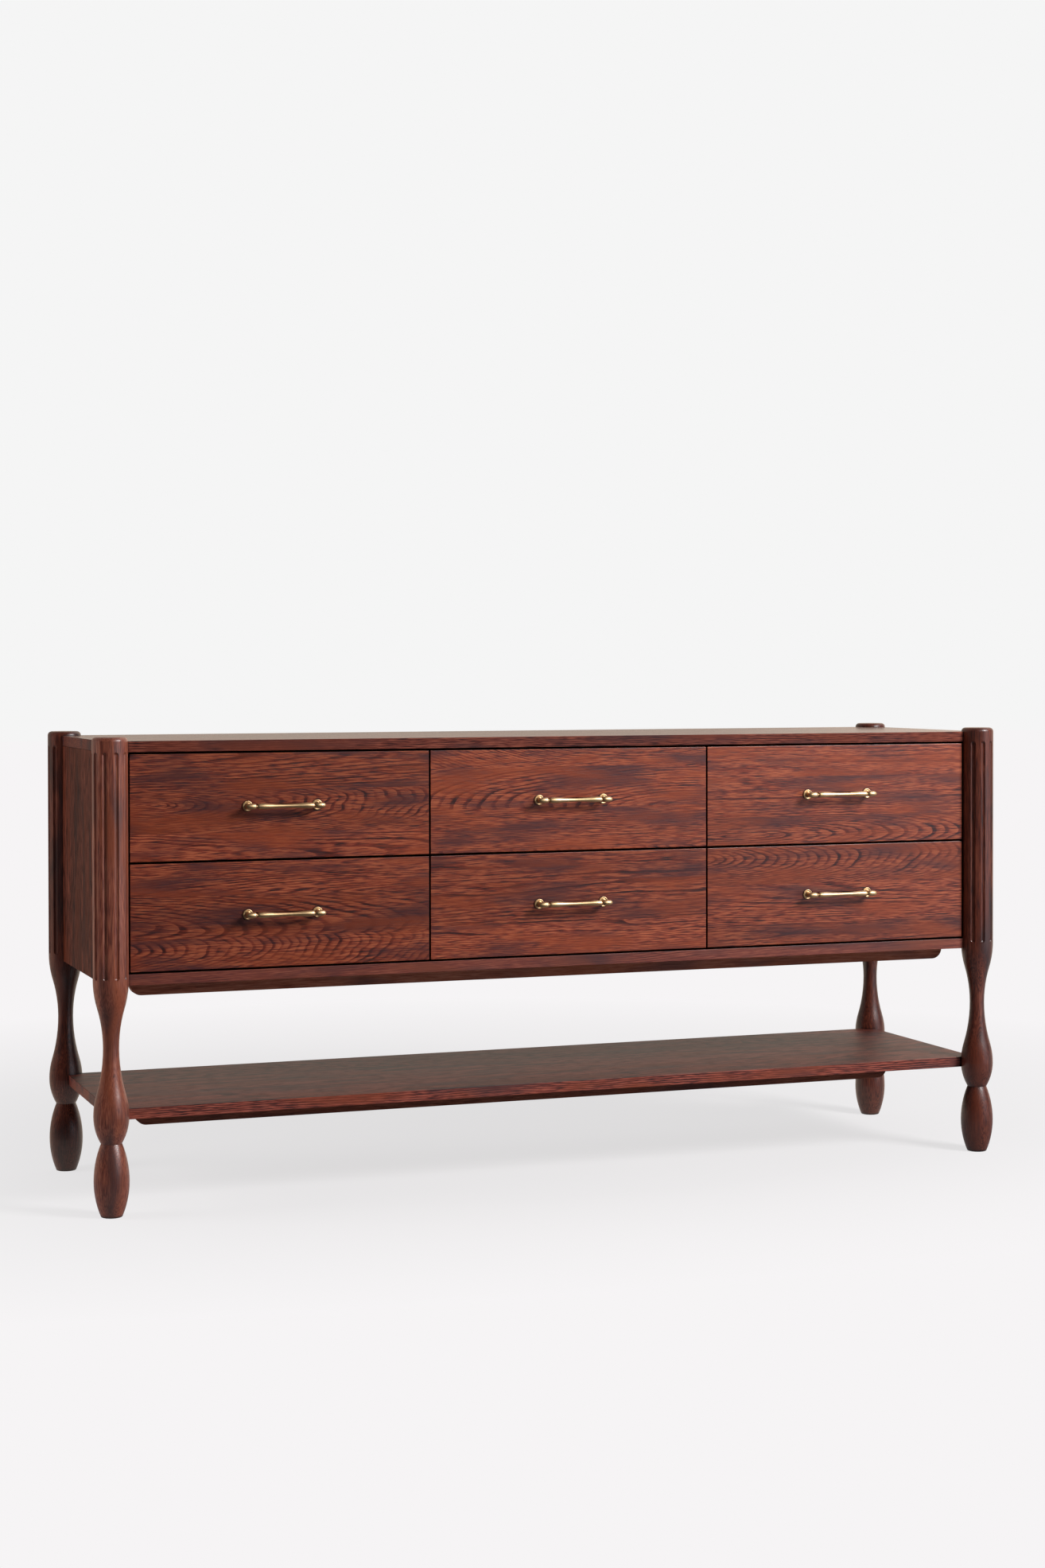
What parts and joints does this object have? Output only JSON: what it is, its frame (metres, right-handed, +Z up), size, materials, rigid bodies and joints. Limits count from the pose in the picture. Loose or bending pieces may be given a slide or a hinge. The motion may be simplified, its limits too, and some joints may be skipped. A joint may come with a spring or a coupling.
{
  "type": "chest of drawers",
  "caption": "Low stained-wood dresser: drawers in columns between turned, fluted posts, an open shelf below, and brass bar pulls.",
  "frame": {"origin": "on the floor, under the middle of the whole outline with its pulls", "axes": "+Z up, +X to the right as seen from the front, -Y out of the front"},
  "size_m": [1.83, 0.52, 0.858],
  "materials": {
    "stained_top": "red-brown stain under satin lacquer",
    "stained_front": "red-brown stain under satin lacquer",
    "stained_panel": "red-brown stain under satin lacquer",
    "stained_post": "red-brown stain under satin lacquer",
    "stained_rail": "red-brown stain under satin lacquer",
    "stained_back": "thin red-brown stain on plywood",
    "bare_wood": "clear sealed, unstained",
    "antique_brass": "aged, with polished high spots",
    "runner_steel": "zinc plated",
    "screw_steel": "zinc plated"
  },
  "bodies": {
    "case": {"top_panel": "stained_top", "bottom_panel": "stained_panel", "back_panel": "stained_back", "side_panel_left": "stained_panel", "side_panel_right": "stained_panel", "divider_left": "stained_panel", "divider_right": "stained_panel", "shelf": "stained_top", "case_rail_front": "stained_rail", "case_rail_back": "stained_rail", "shelf_rail": "stained_rail", "post_front_left": "stained_post", "post_front_right": "stained_post", "post_back_left": "stained_post", "post_back_right": "stained_post", "runner_packers": "bare_wood", "case_runners": "runner_steel", "runner_screws": "screw_steel"},
    "lower_left_drawer": {"lower_left_front": "stained_front", "lower_left_box_boards": "bare_wood", "lower_left_box_bottom": "bare_wood", "lower_left_runners": "runner_steel", "lower_left_pull_bar": "antique_brass", "lower_left_pull_posts": "antique_brass", "lower_left_pull_screws": "screw_steel"},
    "lower_middle_drawer": {"lower_middle_front": "stained_front", "lower_middle_box_boards": "bare_wood", "lower_middle_box_bottom": "bare_wood", "lower_middle_runners": "runner_steel", "lower_middle_pull_bar": "antique_brass", "lower_middle_pull_posts": "antique_brass", "lower_middle_pull_screws": "screw_steel"},
    "lower_right_drawer": {"lower_right_front": "stained_front", "lower_right_box_boards": "bare_wood", "lower_right_box_bottom": "bare_wood", "lower_right_runners": "runner_steel", "lower_right_pull_bar": "antique_brass", "lower_right_pull_posts": "antique_brass", "lower_right_pull_screws": "screw_steel"},
    "upper_left_drawer": {"upper_left_front": "stained_front", "upper_left_box_boards": "bare_wood", "upper_left_box_bottom": "bare_wood", "upper_left_runners": "runner_steel", "upper_left_pull_bar": "antique_brass", "upper_left_pull_posts": "antique_brass", "upper_left_pull_screws": "screw_steel"},
    "upper_middle_drawer": {"upper_middle_front": "stained_front", "upper_middle_box_boards": "bare_wood", "upper_middle_box_bottom": "bare_wood", "upper_middle_runners": "runner_steel", "upper_middle_pull_bar": "antique_brass", "upper_middle_pull_posts": "antique_brass", "upper_middle_pull_screws": "screw_steel"},
    "upper_right_drawer": {"upper_right_front": "stained_front", "upper_right_box_boards": "bare_wood", "upper_right_box_bottom": "bare_wood", "upper_right_runners": "runner_steel", "upper_right_pull_bar": "antique_brass", "upper_right_pull_posts": "antique_brass", "upper_right_pull_screws": "screw_steel"}
  },
  "joints": [
    {"name": "lower_left_slide", "type": "slide", "parent": "case", "child": "lower_left_drawer", "axis": [0, -1, 0], "range_m": [0, 0.3]},
    {"name": "lower_middle_slide", "type": "slide", "parent": "case", "child": "lower_middle_drawer", "axis": [0, -1, 0], "range_m": [0, 0.3]},
    {"name": "lower_right_slide", "type": "slide", "parent": "case", "child": "lower_right_drawer", "axis": [0, -1, 0], "range_m": [0, 0.3]},
    {"name": "upper_left_slide", "type": "slide", "parent": "case", "child": "upper_left_drawer", "axis": [0, -1, 0], "range_m": [0, 0.3]},
    {"name": "upper_middle_slide", "type": "slide", "parent": "case", "child": "upper_middle_drawer", "axis": [0, -1, 0], "range_m": [0, 0.3]},
    {"name": "upper_right_slide", "type": "slide", "parent": "case", "child": "upper_right_drawer", "axis": [0, -1, 0], "range_m": [0, 0.3]}
  ]
}
